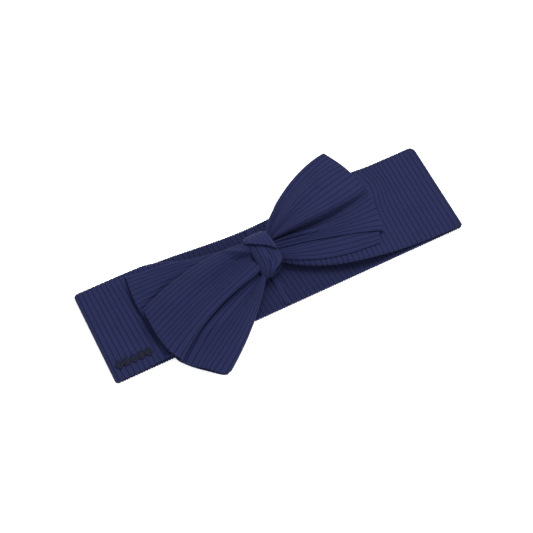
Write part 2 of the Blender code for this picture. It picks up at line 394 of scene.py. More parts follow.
@dataclass
class Pile:
    """Height of everything laid down so far, on a square grid over the ground plan."""

    low: tuple[float, float] = (-0.110, -0.070)
    cells: tuple[int, int] = (294, 187)
    cell: float = 0.00075
    empty: float = -0.01
    blur: int = 2
    softness: float = 0.0004
    ease: float = 0.35

    def __post_init__(self) -> None:
        """Start with bare ground."""
        self.height = np.full(self.cells, self.empty)
        self.soft = self.height.copy()

    def lay(self, surface: Array, half_thickness: float) -> None:
        """Add a surface: each cell takes the highest point over it, spread to its neighbours.

        Args:
            surface: grid of middle points.
            half_thickness: half the ply's thickness.
        """
        dense = surface
        for axis in (0, 1):
            moved = np.swapaxes(dense, 0, axis)
            halves = (moved[1:] + moved[:-1]) / 2.0
            woven = np.empty((len(moved) + len(halves),) + moved.shape[1:])
            woven[::2], woven[1::2] = moved, halves
            dense = np.swapaxes(woven, 0, axis)
        flat = dense.reshape(-1, 3)
        places = np.floor((flat[:, :2] - self.low) / self.cell).astype(int)
        places = np.clip(places, 0, np.array(self.cells) - 1)
        np.maximum.at(self.height, (places[:, 0], places[:, 1]), flat[:, 2] + half_thickness)
        self.soft = self.filtered(self.filtered(self.height, 1, np.max), self.blur, np.mean)

    @staticmethod
    def filtered(grid: Array, reach: int, rule: Callable[..., Array]) -> Array:
        """Grid whose cells hold what a rule, such as the highest, makes of the cells within reach.

        Args:
            grid: the cells.
            reach: how many cells to each side count.
            rule: a function that takes the axes to sum up as its axis.

        Returns:
            The new grid.
        """
        size = 2 * reach + 1
        windows = np.lib.stride_tricks.sliding_window_view(np.pad(grid, reach, mode="edge"), (size, size))
        return rule(windows, axis=(2, 3))

    def read(self, surface: Array) -> Array:
        """Height under each point, from the four nearest cells.

        Args:
            surface: grid of points, of which X and Y count.

        Returns:
            One height for each point.
        """
        place = (surface[..., :2] - self.low) / self.cell - 0.5
        place = np.clip(place, 0, np.array(self.cells) - 1.001)
        cell = place.astype(int)
        share = place - cell
        x, y = cell[..., 0], cell[..., 1]
        near = self.soft[x, y] * (1 - share[..., 0]) + self.soft[x + 1, y] * share[..., 0]
        far = self.soft[x, y + 1] * (1 - share[..., 0]) + self.soft[x + 1, y + 1] * share[..., 0]
        return near * (1 - share[..., 1]) + far * share[..., 1]

    def rest(self, surface: Array, clearance: float) -> Array:
        """Lift a surface so that it lies on the pile: a softened maximum of its height and the pile's.

        Args:
            surface: grid of middle points.
            clearance: least height of a middle point over the pile.

        Returns:
            The lifted grid.
        """
        lifted = surface.copy()
        floor_height = self.read(surface) + clearance
        gap = lifted[..., 2] - floor_height
        near = self.softness * np.exp(-np.abs(gap) / self.softness) * self.ease
        lifted[..., 2] = np.maximum(lifted[..., 2], floor_height) + near
        return lifted


# ---------------------------------------------------------------- finishes


class NodeSheet:
    """Short calls for laying out a material's nodes."""

    def __init__(self, name: str) -> None:
        """Start an empty node material.

        Args:
            name: the material's name.
        """
        self.material = bpy.data.materials.new(name)
        self.material.use_nodes = True
        self.tree = self.material.node_tree
        self.shader = self.tree.nodes["Principled BSDF"]

    def add(self, kind: str, **settings: object) -> bpy.types.Node:
        """Add a node of a kind and set its properties.

        Args:
            kind: the node's type.
            settings: its properties by name.

        Returns:
            The node.
        """
        node = self.tree.nodes.new(kind)
        for key, value in settings.items():
            setattr(node, key, value)
        return node

    def feed(self, socket: bpy.types.NodeSocket, value: object) -> None:
        """Link an output to a socket, or set a plain value on it."""
        if isinstance(value, bpy.types.NodeSocket):
            self.tree.links.new(value, socket)
        else:
            socket.default_value = value

    def math(self, operation: str, *values: object) -> bpy.types.NodeSocket:
        """Add a Math node and return its result.

        Args:
            operation: the node's operation.
            values: its inputs in order, as sockets or plain values.

        Returns:
            The result socket.
        """
        node = self.add("ShaderNodeMath", operation=operation)
        for socket, value in zip(node.inputs, values):
            self.feed(socket, value)
        return node.outputs[0]

    def mix(self, share: object, first: object, second: object) -> bpy.types.NodeSocket:
        """Mix two colours by a share.

        Args:
            share: share of the second colour.
            first: the colour at 0.
            second: the colour at 1.

        Returns:
            The mixed colour.
        """
        node = self.add("ShaderNodeMix", data_type="RGBA")
        self.feed(node.inputs["Factor"], share)
        self.feed(node.inputs[6], first)
        self.feed(node.inputs[7], second)
        return node.outputs[2]

    def noise(self, scale: float, detail: float) -> bpy.types.NodeSocket:
        """Noise on Object coordinates, about one half on average.

        Args:
            scale: how fine the noise is.
            detail: how many finer layers are added.

        Returns:
            The noise value.
        """
        place = self.add("ShaderNodeTexCoord").outputs["Object"]
        node = self.add("ShaderNodeTexNoise")
        self.feed(node.inputs["Vector"], place)
        self.feed(node.inputs["Scale"], scale)
        self.feed(node.inputs["Detail"], detail)
        return node.outputs["Fac"]

    def bump(self, height: object, distance: float, below: object = None) -> bpy.types.NodeSocket:
        """Add a Bump node over another one.

        Args:
            height: the pattern that rises.
            distance: its height in metres.
            below: normal to bump, if any.

        Returns:
            The bumped normal.
        """
        node = self.add("ShaderNodeBump")
        self.feed(node.inputs["Height"], height)
        node.inputs["Distance"].default_value = distance
        if below is not None:
            self.feed(node.inputs["Normal"], below)
        return node.outputs["Normal"]


@dataclass(frozen=True)
class KnitFinish:
    """Cotton rib knit: painted shade in the grooves and stitch hollows, a painted highlight on the crests, rows
    of small stitches, fuzz and a soft sheen.
    """

    name: str
    crest: tuple[float, float, float]
    # Groove colour: painted shade for the grooves between ribs.
    groove: tuple[float, float, float]
    groove_shade_share: float = 0.80
    groove_sharpness: float = 10.0
    half_groove_shade: float = 0.50
    half_sharpness: float = 15.0
    # Paler colour painted on the rib crests as a highlight, broken up by the fuzz noise.
    crest_highlight: tuple[float, float, float] = (0.016, 0.020, 0.064)
    crest_highlight_share: float = 0.35
    crest_highlight_sharpness: float = 2.0
    # Share of painted shade in the hollows between stitches.
    hollow_shade_share: float = 0.20
    patch_from: float = 0.35
    patch_share: float = 0.45
    roughness: float = 0.88
    specular: float = 0.10
    sheen: float = 0.05
    sheen_roughness: float = 0.45
    sheen_tint: tuple[float, float, float] = (0.22, 0.26, 0.55)
    stitch_columns: float = 5.0
    stitch_rows: float = 4.6
    stitch_slant: float = 0.42
    stitch_floor: float = 0.4
    arch_sharpness: float = 3.0
    stitch_depth: float = 0.00006
    fuzz_depth: float = 0.00004
    fuzz_scale: float = 2600.0
    shade_scale: float = 85.0

    def build(self) -> bpy.types.Material:
        """Lay out the nodes.

        The groove is the raised cosine of the rib number to a high power, with a weaker one halfway. A stitch
        is the product of a sine along the rib, pushed on by the distance from its column's middle, and the
        column's own arch.

        Returns:
            The material.
        """
        sheet = NodeSheet(self.name)
        uv = sheet.add("ShaderNodeUVMap", uv_map="wales").outputs[0]
        parts = sheet.add("ShaderNodeSeparateXYZ")
        sheet.feed(parts.inputs[0], uv)
        rib, along = parts.outputs[0], parts.outputs[1]

        wave = sheet.math("COSINE", sheet.math("MULTIPLY", rib, 2.0 * math.pi))
        raised, sunk = (sheet.math("MULTIPLY_ADD", wave, sign * 0.5, 0.5) for sign in (1.0, -1.0))
        main = sheet.math("POWER", raised, self.groove_sharpness)
        half = sheet.math("POWER", sunk, self.half_sharpness)
        groove = sheet.math("MULTIPLY_ADD", half, self.half_groove_shade, main)
        crest = sheet.math("POWER", sunk, self.crest_highlight_sharpness)

        column = sheet.math("FRACT", sheet.math("MULTIPLY", rib, self.stitch_columns))
        aside = sheet.math("ABSOLUTE", sheet.math("MULTIPLY_ADD", column, 2.0, -1.0))
        level = sheet.math("MULTIPLY", along, self.stitch_rows)
        row = sheet.math("MULTIPLY_ADD", aside, self.stitch_slant, level)
        turn = sheet.math("MULTIPLY", row, 2.0 * math.pi)
        rows = sheet.math("MULTIPLY_ADD", sheet.math("SINE", turn), 0.5, 0.5)
        arch = sheet.math("SUBTRACT", 1.0, sheet.math("POWER", aside, self.arch_sharpness))
        lifted = sheet.math("MULTIPLY_ADD", rows, 1.0 - self.stitch_floor, self.stitch_floor)
        stitch = sheet.math("MULTIPLY", lifted, arch)

        fuzz = sheet.noise(self.fuzz_scale, 3.0)
        shade = sheet.noise(self.shade_scale, 4.0)
        dark = (*self.groove, 1.0)
        # Painted shade: the grooves, and a weaker line along each crest, are mixed towards the darker groove
        # colour.
        colour = sheet.mix(sheet.math("MULTIPLY", groove, self.groove_shade_share), (*self.crest, 1.0), dark)
        # Painted shade in the hollows between stitches.
        hollow_shade = sheet.math("MULTIPLY", sheet.math("SUBTRACT", 1.0, stitch), self.hollow_shade_share)
        colour = sheet.mix(hollow_shade, colour, dark)
        # Painted highlight: the crests are mixed towards the paler colour where the fuzz noise is high.
        crest_highlight_mask = sheet.math("MULTIPLY", sheet.math("MULTIPLY", crest, fuzz), self.crest_highlight_share)
        colour = sheet.mix(crest_highlight_mask, colour, (*self.crest_highlight, 1.0))
        patch = sheet.math("MULTIPLY", sheet.math("SUBTRACT", shade, self.patch_from), self.patch_share)
        sheet.feed(sheet.shader.inputs["Base Color"], sheet.mix(patch, colour, dark))

        knit = sheet.bump(stitch, self.stitch_depth)
        sheet.feed(sheet.shader.inputs["Normal"], sheet.bump(fuzz, self.fuzz_depth, knit))
        sheet.shader.inputs["Roughness"].default_value = self.roughness
        sheet.shader.inputs["Specular IOR Level"].default_value = self.specular
        sheet.shader.inputs["Sheen Weight"].default_value = self.sheen
        sheet.shader.inputs["Sheen Roughness"].default_value = self.sheen_roughness
        sheet.shader.inputs["Sheen Tint"].default_value = (*self.sheen_tint, 1.0)
        return sheet.material


@dataclass(frozen=True)
class PrintFinish:
    """Raised rubbery print: near black, half glossy, with a fine pitted skin."""

    name: str
    colour: tuple[float, float, float]
    roughness: float = 0.45
    roughness_spread: float = 0.2
    specular: float = 0.06
    pit_scale: float = 3200.0
    pit_depth: float = 0.00003
    pit_shade: float = 0.6
    lift: float = 1.8

    def build(self) -> bpy.types.Material:
        """Lay out the nodes: a noise on Object coordinates pits the skin and varies the colour.

        Returns:
            The material.
        """
        sheet = NodeSheet(self.name)
        pits = sheet.noise(self.pit_scale, 2.0)
        lifted = tuple(value * self.lift for value in self.colour)
        share = sheet.math("MULTIPLY", pits, self.pit_shade)
        roughness = sheet.math("MULTIPLY_ADD", pits, self.roughness_spread, self.roughness)
        sheet.feed(sheet.shader.inputs["Base Color"], sheet.mix(share, (*self.colour, 1.0), (*lifted, 1.0)))
        sheet.feed(sheet.shader.inputs["Normal"], sheet.bump(pits, self.pit_depth))
        sheet.shader.inputs["Specular IOR Level"].default_value = self.specular
        sheet.feed(sheet.shader.inputs["Roughness"], roughness)
        return sheet.material


@dataclass(frozen=True)
class FloorFinish:
    """Matt white paper with a faint grain, lit a little from below."""

    name: str = "white_paper"
    shade: float = 0.90
    grain_shade: float = 0.891
    grain_scale: float = 90.0
    glow: float = 0.45

    def build(self) -> bpy.types.Material:
        """Lay out the nodes: plain white with a faint grain from noise, and a little glow.

        Returns:
            The material.
        """
        sheet = NodeSheet(self.name)
        grain = sheet.noise(self.grain_scale, 2.0)
        pale, duller = ((level, level, level, 1.0) for level in (self.shade, self.grain_shade))
        sheet.feed(sheet.shader.inputs["Base Color"], sheet.mix(grain, pale, duller))
        sheet.shader.inputs["Roughness"].default_value = 1.0
        sheet.shader.inputs["Emission Color"].default_value = pale
        sheet.shader.inputs["Emission Strength"].default_value = self.glow
        sheet.shader.inputs["Specular IOR Level"].default_value = 0.0
        return sheet.material


NAVY = (0.0094, 0.0118, 0.0450)
# Groove colours: painted shade for the grooves between ribs.
NAVY_GROOVE_SHADE = (0.0024, 0.0031, 0.0125)
# Inside colours: a darker copy of the navy, painted shade for the plies and core that lie under or inside other
# cloth.
SHADED_INSIDE_NAVY = (0.0080, 0.0101, 0.0390)
INSIDE_GROOVE_SHADE = (0.0021, 0.0027, 0.0110)
THREAD_GROOVE_SHADE = (0.0030, 0.0038, 0.0150)
INK = (0.0030, 0.0036, 0.0100)


class Finishes:
    """The finishes, built once and handed out by slot."""

    def __init__(self) -> None:
        """Build every material."""
        outside = KnitFinish("navy_rib_knit", NAVY, NAVY_GROOVE_SHADE)
        inside = KnitFinish("navy_rib_inside_shaded", SHADED_INSIDE_NAVY, INSIDE_GROOVE_SHADE, crest_highlight_share=0.2)
        thread = KnitFinish(
            "navy_overlock_thread",
            NAVY,
            THREAD_GROOVE_SHADE,
            stitch_columns=1.0,
            stitch_rows=2.5,
            stitch_depth=0.0001,
        )
        ink = PrintFinish("dark_raised_print", INK)
        self.materials = {
            Slot.RIB: outside.build(),
            Slot.INSIDE: inside.build(),
            Slot.THREAD: thread.build(),
            Slot.PRINT: ink.build(),
        }

    def dress(self, piece: bpy.types.Object, slot: Slot) -> None:
        """Give a piece the material of its slot."""
        piece.data.materials.append(self.materials[slot])


# ---------------------------------------------------------------- shared sizes


@dataclass
class BandSizes:
    """Sizes of the band, read from the frame."""

    ply_gap: float = 0.0003
    corner_left: float = 0.0017
    corner_back: float = 0.0032
    corner_chin: float = 0.0016
    corner_run: float = 0.0080

    def __post_init__(self) -> None:
        """Work the sizes out of the boxes of the four band nodes."""
        outer_low, outer_high = corners(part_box("back_outer_ply"))
        inner_low, _ = corners(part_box("back_inner_ply"))
        _, front_high = corners(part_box("left_front_outer_ply"))
        self.half_length = float(outer_high[0])
        self.half_width = float(outer_high[1])
        self.fold_top = float(outer_high[2])
        self.ply_step = float(inner_low[2] - outer_low[2])
        self.ply = self.ply_step - self.ply_gap
        self.axis_z = self.fold_top / 2.0
        self.fold_x = self.half_length - self.axis_z
        self.arch_rise = float(front_high[2]) - self.fold_top

    def rounded(self, surface: Array) -> Array:
        """Round the band's corners in plan.

        Near a side fold X is drawn in by the corner radius less the leg of a right triangle whose other
        leg is how far Y has entered the corner.

        Args:
            surface: grid of points.

        Returns:
            The grid with its corners drawn in.
        """
        drawn = surface.copy()
        x, y = surface[..., 0], surface[..., 1]
        radius = np.where(x < 0.0, self.corner_left, np.where(y > 0.0, self.corner_back, self.corner_chin))
        entered = np.clip(np.abs(y) - (self.half_width - radius), 0.0, radius)
        inset = radius - np.sqrt(radius**2 - entered**2)
        near = smooth_step((np.abs(x) - self.fold_x + self.corner_run) / self.corner_run)
        drawn[..., 0] = x - np.sign(x) * inset * near
        return drawn

    @property
    def roll(self) -> float:
        """Radius of the rolled long edges at mid ply."""
        return self.ply_step / 2.0

    @property
    def roll_reach(self) -> float:
        """How far a rolled edge stands outside the start of its roll."""
        return self.roll + self.ply / 2.0

    def edge_inset(self, rolled: bool) -> float:
        """How far a ply's flat part stays inside the band's edge: the roll's reach, or more if it is plain."""
        return self.roll_reach if rolled else self.roll_reach + INNER_INSET


@dataclass(frozen=True)
class Carrier:
    """The body that a piece moves with, and the body and the run over which it would bend away from another; the
    run is not read and nothing bends.
    """

    body: str
    bends_from: str = ""
    start: Point = (0.0, 0.0, 0.0)
    end: Point = (0.0, 0.0, 0.0)

    def take(self, piece: bpy.types.Object) -> None:
        """Make a piece ride on the body; when it bends from another body, only bake its transform in place, with
        no body and no bend.
        """
        if self.bends_from:
            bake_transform(piece)
        else:
            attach(piece, self.body)


@dataclass
class Dresser:
    """What every sub-assembly needs to finish its pieces: the finishes, the band's sizes and the pile."""

    finishes: Finishes
    band: BandSizes
    pile: Pile

    def finish(self, piece: bpy.types.Object, node: str, slot: Slot, carrier: Carrier) -> None:
        """Dress a piece, let it stand for its node and hand it to its carrier.

        Args:
            piece: the finished object.
            node: the frame's node it stands for.
            slot: its material slot.
            carrier: its body to move with; a carrier with a bend only bakes its transform.
        """
        self.finishes.dress(piece, slot)
        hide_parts(node)
        carrier.take(piece)
        LOG.info("%s: %d faces, moves with %s", piece.name, len(piece.data.polygons), carrier.body)

    @staticmethod
    def declare(piece: bpy.types.Object, cloth: Cloth, fold: Fold, rests_on: list[str]) -> None:
        """Does nothing: it stands where a sheet would be declared with the flat size that its middle surface
        unrolls to.

        Args:
            piece: the finished object; not used.
            cloth: the cloth it was made from; not used.
            fold: how it is held; not used.
            rests_on: names of the pieces beneath it; not used.
        """


# ---------------------------------------------------------------- back half


@dataclass
class BackHalf:
    """The half of the loop on the ground: two plies between the side folds, and the closing seam."""

    dresser: Dresser
    rows: int = 22
    roll_steps: int = 6
    dip: float = 0.0040
    dip_reach: float = 0.062
    dip_centre: float = -0.003
    rib_lean: float = -0.08
    end_margin: float = 0.0004
    crease_rise: float = 0.0005
    crease_place: tuple[float, float] = (0.012, -0.012)
    crease_reach: tuple[float, float] = (0.040, 0.016)
    crease_slant: float = 0.7
    crease_wave: float = 0.0048
    relief: RibRelief = field(default_factory=lambda: RibRelief(depth=0.00042, crest_share=0.8))
    seam_lift: float = 0.0005
    seam_ply: float = 0.0005
    seam_steps: tuple[int, int] = (160, 9)

    def dipped(self, x: Array, y: Array) -> Array:
        """Y with the back edge drawn in behind the knot, in proportion to the place across the band.

        Args:
            x: places along the band.
            y: places across it.

        Returns:
            The new places across.
        """
        band = self.dresser.band
        dip = self.dip * smooth_step(1.0 - np.abs(x - self.dip_centre) / self.dip_reach)
        return y - dip * (y / (2.0 * band.half_width) + 0.5)

    def ply(self, name: str, depth: float, rolled: bool) -> Cloth:
        """One ply of the back half.

        Args:
            name: name of the piece.
            depth: distance of the mid ply above the ground.
            rolled: whether its long edges roll over the other ply.

        Returns:
            The ply's cloth, face outwards on the rolled ply and inwards on the other.
        """
        band = self.dresser.band
        half_run = band.fold_x - self.end_margin
        ribs = round(2.0 * half_run / RIB_PITCH)
        distance = np.linspace(-half_run, half_run, ribs * RIB_STEPS + 1)
        half_width = band.half_width - band.edge_inset(rolled)
        across = half_width * np.sin(np.linspace(-math.pi / 2, math.pi / 2, self.rows))
        path, y = np.meshgrid(distance, across, indexing="ij")
        lean = self.rib_lean * y * np.cos(path / half_run * math.pi / 2)
        middle = np.stack([path + lean, y, np.full_like(path, depth)], -1)
        rib = np.repeat((np.arange(len(distance)) / RIB_STEPS)[:, None], self.rows, 1)
        if rolled:
            middle, rib = curl_edges(middle, rib, band.roll, self.roll_steps, -normals(middle))
            rib = level_ribs(rib, self.rows // 2, middle.shape[1])
        else:
            middle[..., 2] += self.creases(middle)
        middle[..., 1] = self.dipped(middle[..., 0], middle[..., 1])
        middle = band.rounded(middle)
        if rolled:
            middle, rib = middle[:, ::-1], rib[:, ::-1]
        along = arc_columns(middle)
        return Cloth(name, middle, rib, along, band.ply, self.relief)

    def creases(self, surface: Array) -> Array:
        """Soft creases of the inner ply: two slanted swells that die out away from the knot.

        Args:
            surface: grid of points.

        Returns:
            The rise at each point.
        """
        x, y = surface[..., 0], surface[..., 1]
        near = bump(x, self.crease_place[0], self.crease_reach[0])
        near = near * bump(y, self.crease_place[1], self.crease_reach[1])
        return self.crease_rise * near * (0.5 + 0.5 * np.sin((x + self.crease_slant * y) / self.crease_wave))

    def seam(self) -> Cloth:
        """The closing seam: a narrow strip along Y, its surface raised in the middle as a half wave.

        Returns:
            The seam's cloth.
        """
        low, high = corners(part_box("back_seam"))
        rows = np.linspace(low[1], high[1], self.seam_steps[0])
        columns = np.linspace(low[0], high[0], self.seam_steps[1])
        y, x = np.meshgrid(rows, columns, indexing="ij")
        share = (x - low[0]) / (high[0] - low[0])
        level = low[2] + self.seam_lift * np.sin(math.pi * share)
        middle = np.stack([x, y, level], -1)[:, ::-1]
        return Cloth("back_seam_overlock", middle, share[:, ::-1] * 2.0, arc_rows(middle), self.seam_ply)

    def build(self) -> None:
        dresser, band = self.dresser, self.dresser.band
        outer = self.ply("back_outer_knit", band.ply / 2.0, True)
        inner = self.ply("back_inner_knit", band.ply_step + band.ply / 2.0, False)
        seam = self.seam()
        made = {cloth.name: cloth.build() for cloth in (outer, inner, seam)}
        band_body = Carrier("band")
        dresser.finish(made[outer.name], "back_outer_ply", Slot.RIB, band_body)
        dresser.finish(made[inner.name], "back_inner_ply", Slot.INSIDE, band_body)
        dresser.finish(made[seam.name], "back_seam", Slot.THREAD, band_body)
        dresser.declare(made[outer.name], outer, Fold.FOLDED, [])
        dresser.declare(made[inner.name], inner, Fold.FOLDED, [outer.name])
        dresser.pile.lay(outer.middle, band.ply / 2.0)
        dresser.pile.lay(inner.middle, band.ply / 2.0)


# ---------------------------------------------------------------- front panels


@dataclass
class FrontPanel:
    """A front panel from its side fold over the head opening to the knot, two plies deep."""

    dresser: Dresser
    side: Side
    knot_edge: float
    tuck: float = 0.0040
    flat_end: float = 0.0238
    arch_run: float = 0.031
    gather_run: float = 0.027
    gathered_half: float = 0.0046
    back_foot: float = 0.062
    back_run: float = 0.050
    back_half: float = 0.0060
    draw_in: float = 0.60
    rib_lean: float = 0.04
    bend_run: float = 0.0075
    pleats: int = 5
    pleat_rise: float = 0.0006
    pleat_run: float = 0.015
    push: float = 0.0
    push_place: tuple[float, float] = (0.064, 0.014)
    push_reach: tuple[float, float] = (0.009, 0.010)
    push_rise: float = 0.25
    rows: int = 44
    roll_steps: int = 7
    roll_swell: float = 0.0006
    relief: RibRelief = field(default_factory=lambda: RibRelief(crest_share=0.45))

    @property
    def label(self) -> str:
        """Name of the side."""
        return self.side.name.lower()

    def arch(self, x: Array) -> Array:
        """Rise of the panel over the head opening: a smooth step of the distance from the arch's foot.

        Args:
            x: places along the band.

        Returns:
            The rise at each place.
        """
        band = self.dresser.band
        foot = band.fold_x - self.flat_end
        return band.arch_rise * smooth_step((foot - np.abs(x)) / self.arch_run)

    def chin_half(self, x: Array) -> Array:
        """Distance of the chin edge from the middle line: full width less a decaying power from the knot.

        Args:
            x: places along the band.

        Returns:
            One distance for each place.
        """
        band = self.dresser.band
        run = band.fold_x - abs(self.knot_edge)
        ending = math.exp(-run / self.gather_run)
        away = np.maximum(np.abs(x) - abs(self.knot_edge), -self.tuck)
        drawn = (np.exp(-away / self.gather_run) - ending) / (1.0 - ending)
        return band.half_width - (band.half_width - self.gathered_half) * drawn

    def back_edge(self, x: Array) -> Array:
        """Distance of the back edge from the middle line, drawn in as the arch lifts it and then to the knot.

        Args:
            x: places along the band.

        Returns:
            One distance for each place.
        """
        band = self.dresser.band
        drawn = smooth_step((self.back_foot - np.abs(x)) / self.back_run)
        drawn_up = self.arch(x) * self.draw_in * (1.0 - drawn)
        return band.half_width - drawn_up - (band.half_width - self.back_half) * drawn

    def pushed(self, x: Array, y: Array) -> Array:
        """Sideways swing of the ribs where a wing's end pushes them out: a bell in X times a bell in Y.

        Args:
            x: places along the band.
            y: places across it.

        Returns:
            The swing at each place.
        """
        near = bump(np.abs(x), self.push_place[0], self.push_reach[0])
        return self.push * near * bump(y, self.push_place[1], self.push_reach[1])

    def ply(self, name: str, depth: float, rolled: bool, steps: int) -> Cloth:
        """One ply of the panel, from the foot of the side fold round it and over the opening to the knot.

        In the fold X is the fold's place plus the radius times the sine of the turn, and Z is its axis less
        the radius times the cosine; past it the ply runs level under the arch's rise.

        Args:
            name: name of the piece.
            depth: distance of the mid ply below the top of the fold.
            rolled: whether its long edges roll under.
            steps: points to a rib.

        Returns:
            The ply's cloth.
        """
        band, sign = self.dresser.band, float(self.side.value)
        radius = band.axis_z - depth
        end = self.knot_edge - sign * self.tuck
        run = math.pi * radius + band.fold_x - abs(end)
        ribs = round(run / RIB_PITCH)
        distance = np.linspace(0.0, run, ribs * steps + 1)
        turn = np.minimum(distance / radius, math.pi)
        flat = np.maximum(distance - math.pi * radius, 0.0)
        line = sign * (band.fold_x + radius * np.sin(turn) - flat)
        share = np.sin(np.linspace(-math.pi / 2, math.pi / 2, self.rows))
        x, v = np.meshgrid(line, share, indexing="ij")
        level = np.repeat((band.axis_z - radius * np.cos(turn))[:, None], self.rows, 1)
        inset = band.edge_inset(rolled)
        chin, back = self.chin_half(x) - inset, self.back_edge(x) - inset
        y = np.where(v < 0, v * chin, v * back)
        free = np.sin(math.pi * np.clip((np.abs(x) - abs(end)) / (band.fold_x - abs(end)), 0, 1))
        leaned = x + self.rib_lean * y * free + sign * self.pushed(x, y)
        rise = self.arch(leaned)
        gathered = np.exp(-np.maximum(np.abs(x) - abs(self.knot_edge), 0.0) / self.pleat_run)
        rise = rise + self.pleat_rise * gathered * np.cos(math.pi * self.pleats * v)
        rise = rise + self.push_rise * np.abs(self.pushed(x, y))
        middle = np.stack([leaned, y, level + rise], -1)
        rib = np.repeat((np.arange(len(line)) / steps)[:, None], self.rows, 1)
        if rolled:
            up = -sign * normals(middle)
            raised = (self.arch(line) / band.arch_rise)[:, None]
            radius = band.roll + self.roll_swell * raised
            middle, rib = curl_edges(middle, rib, radius, self.roll_steps, up)
            rib = level_ribs(rib, self.rows // 2, middle.shape[1])
        middle = band.rounded(middle)
        if sign > 0:
            middle, rib = middle[:, ::-1], rib[:, ::-1]
        return Cloth(name, middle, rib, arc_columns(middle), band.ply, self.relief)

    def build(self) -> None:
        """Make and dress both plies, hand them to their carrier and lay them on the pile."""
        dresser, band = self.dresser, self.dresser.band
        body = f"{self.label}_front"
        outer = self.ply(f"{self.label}_front_outer_knit", band.ply / 2.0, True, RIB_STEPS)
        inner_depth = band.ply_step + band.ply / 2.0
        inner = self.ply(f"{self.label}_front_inner_knit", inner_depth, False, RIB_STEPS // 2)
        layers = ((outer, f"{body}_outer_ply", Slot.RIB), (inner, f"{body}_inner_ply", Slot.INSIDE))
        for cloth, node, slot in layers:
            piece = cloth.build()
            dresser.declare(piece, cloth, Fold.GATHERED, ["back_inner_knit"])
            dresser.finish(piece, node, slot, self.carrier())
            dresser.pile.lay(cloth.middle, band.ply / 2.0)

    def carrier(self) -> Carrier:
        """The panel's carrier: its body and the band, with a short run at the side fold that nothing bends over.
        """
        band, sign = self.dresser.band, self.side.value
        start = (sign * band.fold_x, 0.0, band.fold_top)
        end = (sign * (band.fold_x - self.bend_run), 0.0, band.fold_top)
        return Carrier(f"{self.label}_front", "band", start, end)


@dataclass
class CornerMotif:
    """Raised chain of small leaves printed near the left fold, domed across its width."""

    dresser: Dresser
    panel: FrontPanel
    leaves: int = 5
    stem_share: float = 0.26
    columns: int = 260
    rows: int = 15
    lift: float = 0.00012
    ply: float = 0.00016
    dome: float = 0.00022
    vein_depth: float = 0.00008
    vein_width: float = 0.14
    ribbing: float = 0.5

    def build(self) -> None:
        """Make and dress the motif.

        Half its width is the stem's plus the size of a sine along the chain; its height falls off across
        as the square root of one less the squared share of the width.
        """
        low, high = corners(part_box("corner_motif"))
        centre, half = (low + high) / 2.0, (high - low) / 2.0
        along = np.linspace(-1.0, 1.0, self.columns)
        across = np.linspace(-1.0, 1.0, self.rows)
        u, v = np.meshgrid(along, across, indexing="ij")
        leaf = np.abs(np.sin(math.pi * self.leaves * (u + 1.0) / 2.0))
        width = half[1] * (self.stem_share + (1.0 - self.stem_share) * leaf)
        ribbed = RibRelief().sink((u * half[0] + centre[0]) / RIB_PITCH) * self.ribbing
        vein = self.vein_depth * bump(v, 0.0, self.vein_width)
        dome = self.dome * np.sqrt(np.maximum(1.0 - v * v, 0.0)) - vein
        place = [centre[0] + u * half[0], centre[1] + v * width, low[2] + self.lift + dome - ribbed]
        middle = np.stack(place, -1)
        cloth = Cloth("corner_leaf_print", middle, v * 0.0, arc_rows(middle), self.ply, RibRelief(depth=0.0))
        piece = cloth.build()
        self.dresser.finish(piece, "corner_motif", Slot.PRINT, self.panel.carrier())


# ---------------------------------------------------------------- wings


@dataclass(frozen=True)
class Crest:
    """A line along a wing from knot to free end: its place across the wing and its height off the ground."""

    across: Point
    height: Point


@dataclass(frozen=True)
class Wrinkle:
    """A ridge, or with a negative rise a crease, between two places as shares along and across a wing."""

    start: tuple[float, float]
    end: tuple[float, float]
    width: float
    rise: float

    def height(self, along: Array, across: Array) -> Array:
        """Rise at places on the cloth: a bell of the distance from the line, tapering to both its ends.

        Args:
            along: shares from the knot to the free end.
            across: shares across the cloth.

        Returns:
            Heights in metres.
        """
        place = np.stack([along, across], -1) - self.start
        line = np.subtract(self.end, self.start)
        share = place @ line / (line @ line)
        near = place - np.clip(share, 0.0, 1.0)[..., None] * line
        bell = np.exp(-(near**2).sum(-1) / self.width**2)
        return self.rise * bell * np.sqrt(np.clip(np.sin(math.pi * np.clip(share, 0.0, 1.0)), 0.0, 1.0))


@dataclass(frozen=True)
class WingShape:
    """Plan edges of a wing, how far its free end bows out, and the crests, folds and wrinkles across it."""

    back_edge: tuple[tuple[float, float], ...]
    chin_edge: tuple[tuple[float, float], ...]
    bow_out: float
    crests: tuple[Crest, ...]
    bed: tuple[int, ...]
    wrinkles: tuple[Wrinkle, ...] = ()
    rib_pitch: float = RIB_PITCH
    corner: tuple[float, float] = (0.0, 0.0)
    peak: tuple[float, float, float] = (0.5, 1.0, 0.0)


